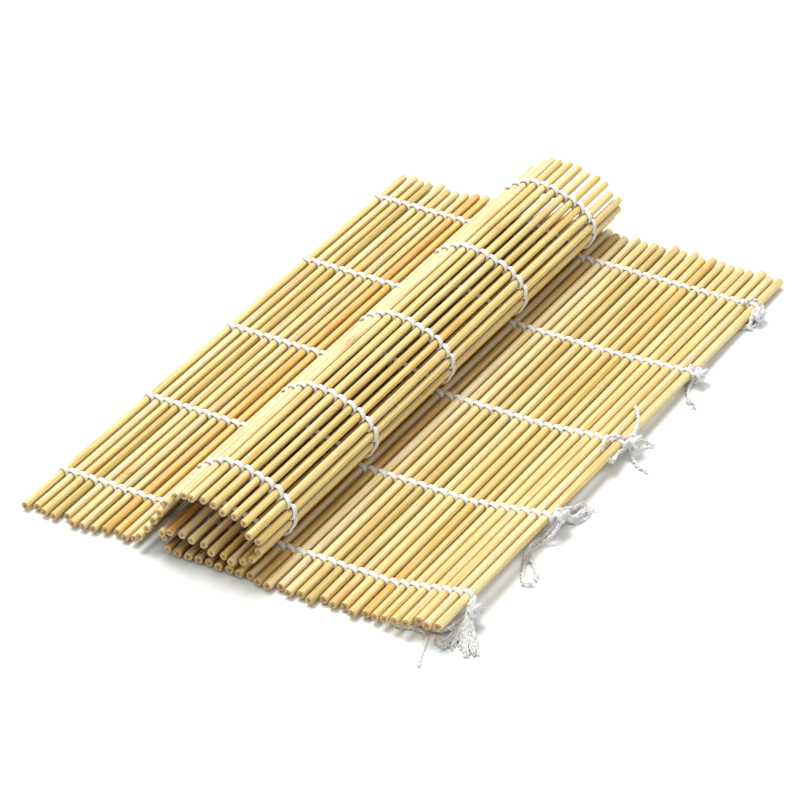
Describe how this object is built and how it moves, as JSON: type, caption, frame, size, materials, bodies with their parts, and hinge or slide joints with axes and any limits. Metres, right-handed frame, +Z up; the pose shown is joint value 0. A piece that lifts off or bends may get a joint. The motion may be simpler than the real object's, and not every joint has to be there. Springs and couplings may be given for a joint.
{
  "type": "sushi rolling mat",
  "caption": "Bamboo mat of round sticks held by twined cotton strings, part rolled up, that bends between the sticks to roll sushi.",
  "frame": {"origin": "middle of the lowest face of the mat's box, on the table", "axes": "+Z up, +Y along the sticks to their far ends, +X along the strings to the knotted edge"},
  "size_m": [0.1594, 0.2542, 0.0275],
  "materials": {
    "bamboo": "smooth dry bamboo",
    "string": "twisted cotton yarn"
  },
  "bodies": {
    "base": {"sticks_base": "bamboo", "string_base": "string"},
    "left_edge": {"sticks_left_edge": "bamboo", "string_left_edge": "string"},
    "left_flap": {"sticks_left_flap": "bamboo", "string_left_flap": "string"},
    "left_floor": {"sticks_left_floor": "bamboo", "string_left_floor": "string"},
    "foot_1": {"sticks_foot_1": "bamboo", "string_foot_1": "string"},
    "foot_2": {"sticks_foot_2": "bamboo", "string_foot_2": "string"},
    "rise": {"sticks_rise": "bamboo", "string_rise": "string"},
    "left_shoulder": {"sticks_left_shoulder": "bamboo", "string_left_shoulder": "string"},
    "crown": {"sticks_crown": "bamboo", "string_crown": "string"},
    "roof": {"sticks_roof": "bamboo", "string_roof": "string"},
    "right_shoulder": {"sticks_right_shoulder": "bamboo", "string_right_shoulder": "string"},
    "nose_1": {"sticks_nose_1": "bamboo", "string_nose_1": "string"},
    "nose_2": {"sticks_nose_2": "bamboo", "string_nose_2": "string"},
    "nose_3": {"sticks_nose_3": "bamboo", "string_nose_3": "string"},
    "tuck": {"sticks_tuck": "bamboo", "string_tuck": "string"},
    "inner_layer": {"sticks_inner_layer": "bamboo", "string_inner_layer": "string"},
    "lip": {"sticks_lip": "bamboo", "string_lip": "string"},
    "fold_1": {"sticks_fold_1": "bamboo", "string_fold_1": "string"},
    "fold_2": {"sticks_fold_2": "bamboo", "string_fold_2": "string"},
    "fold_3": {"sticks_fold_3": "bamboo", "string_fold_3": "string"},
    "right_floor": {"sticks_right_floor": "bamboo", "string_right_floor": "string"},
    "right_flap": {"sticks_right_flap": "bamboo", "string_right_flap": "string"},
    "right_edge": {"sticks_right_edge": "bamboo", "string_right_edge": "string", "knot_1": "string", "knot_2": "string", "knot_3": "string", "knot_4": "string", "knot_5": "string", "end_1": "string", "end_2": "string", "end_3": "string", "end_4": "string", "end_5": "string", "tail_1": "string", "tail_2": "string"}
  },
  "joints": [
    {"name": "open_fold_3", "type": "hinge", "parent": "base", "child": "fold_3", "pos_m": [-0.02423, 0.00001, 0.0021], "axis": [0, -1, 0], "range_deg": [0, 32]},
    {"name": "open_fold_2", "type": "hinge", "parent": "fold_3", "child": "fold_2", "pos_m": [-0.02732, 0.00001, 0.00403], "axis": [0, -1, 0], "range_deg": [0, 49]},
    {"name": "open_fold_1", "type": "hinge", "parent": "fold_2", "child": "fold_1", "pos_m": [-0.02789, 0.00001, 0.00764], "axis": [0, -1, 0], "range_deg": [0, 49]},
    {"name": "open_lip", "type": "hinge", "parent": "fold_1", "child": "lip", "pos_m": [-0.02555, 0.00001, 0.01044], "axis": [0, -1, 0], "range_deg": [0, 49]},
    {"name": "open_inner_layer", "type": "hinge", "parent": "lip", "child": "inner_layer", "pos_m": [-0.0219, 0.00001, 0.0105], "axis": [0, -1, 0], "range_deg": [0, 15]},
    {"name": "open_tuck", "type": "hinge", "parent": "inner_layer", "child": "tuck", "pos_m": [-0.00419, 0.00001, 0.00608], "axis": [0, 1, 0], "range_deg": [0, 26]},
    {"name": "open_nose_3", "type": "hinge", "parent": "tuck", "child": "nose_3", "pos_m": [0.00295, 0.00001, 0.0076], "axis": [0, 1, 0], "range_deg": [0, 32]},
    {"name": "open_nose_2", "type": "hinge", "parent": "nose_3", "child": "nose_2", "pos_m": [0.00558, 0.00001, 0.01014], "axis": [0, 1, 0], "range_deg": [0, 30]},
    {"name": "open_nose_1", "type": "hinge", "parent": "nose_2", "child": "nose_1", "pos_m": [0.00658, 0.00001, 0.01365], "axis": [0, 1, 0], "range_deg": [0, 30]},
    {"name": "open_right_shoulder", "type": "hinge", "parent": "nose_1", "child": "right_shoulder", "pos_m": [0.0057, 0.00001, 0.01719], "axis": [0, 1, 0], "range_deg": [0, 34]},
    {"name": "open_roof", "type": "hinge", "parent": "right_shoulder", "child": "roof", "pos_m": [0.00027, 0.00001, 0.02207], "axis": [0, 1, 0], "range_deg": [0, 25]},
    {"name": "open_crown", "type": "hinge", "parent": "roof", "child": "crown", "pos_m": [-0.0102, 0.00001, 0.02527], "axis": [0, 1, 0], "range_deg": [0, 16]},
    {"name": "open_left_shoulder", "type": "hinge", "parent": "crown", "child": "left_shoulder", "pos_m": [-0.0175, 0.00001, 0.0254], "axis": [0, 1, 0], "range_deg": [0, 28]},
    {"name": "open_rise", "type": "hinge", "parent": "left_shoulder", "child": "rise", "pos_m": [-0.024, 0.00001, 0.02209], "axis": [0, 1, 0], "range_deg": [0, 31]},
    {"name": "open_foot_2", "type": "hinge", "parent": "rise", "child": "foot_2", "pos_m": [-0.03367, 0.00001, 0.00661], "axis": [0, -1, 0], "range_deg": [0, 8]},
    {"name": "open_foot_1", "type": "hinge", "parent": "foot_2", "child": "foot_1", "pos_m": [-0.03602, 0.00001, 0.00381], "axis": [0, -1, 0], "range_deg": [0, 22]},
    {"name": "open_left_floor", "type": "hinge", "parent": "foot_1", "child": "left_floor", "pos_m": [-0.03924, 0.00001, 0.0021], "axis": [0, -1, 0], "range_deg": [0, 28]},
    {"name": "left_curl", "type": "hinge", "parent": "left_floor", "child": "left_flap", "pos_m": [-0.05384, 0.00001, 0.0021], "axis": [0, 1, 0], "range_deg": [0, 45]},
    {"name": "left_curl_edge", "type": "hinge", "parent": "left_flap", "child": "left_edge", "pos_m": [-0.06844, 0.00001, 0.0021], "axis": [0, 1, 0], "range_deg": [0, 45]},
    {"name": "right_curl", "type": "hinge", "parent": "base", "child": "right_floor", "pos_m": [0.01957, 0.00001, 0.0021], "axis": [0, -1, 0], "range_deg": [0, 30]},
    {"name": "right_curl_flap", "type": "hinge", "parent": "right_floor", "child": "right_flap", "pos_m": [0.04147, 0.00001, 0.0021], "axis": [0, -1, 0], "range_deg": [0, 30]},
    {"name": "right_curl_edge", "type": "hinge", "parent": "right_flap", "child": "right_edge", "pos_m": [0.05607, 0.00001, 0.00347], "axis": [0, -0.9999, 0.0115], "range_deg": [0, 30]}
  ],
  "couplings": [
    {"joint": "open_tuck", "follows": "open_inner_layer", "ratio": 1.7333},
    {"joint": "open_left_shoulder", "follows": "open_lip", "ratio": 0.57143},
    {"joint": "open_rise", "follows": "open_fold_1", "ratio": 0.63269},
    {"joint": "left_curl_edge", "follows": "left_curl", "ratio": 1},
    {"joint": "right_curl_flap", "follows": "right_curl", "ratio": 1},
    {"joint": "right_curl_edge", "follows": "right_curl", "ratio": 1}
  ]
}
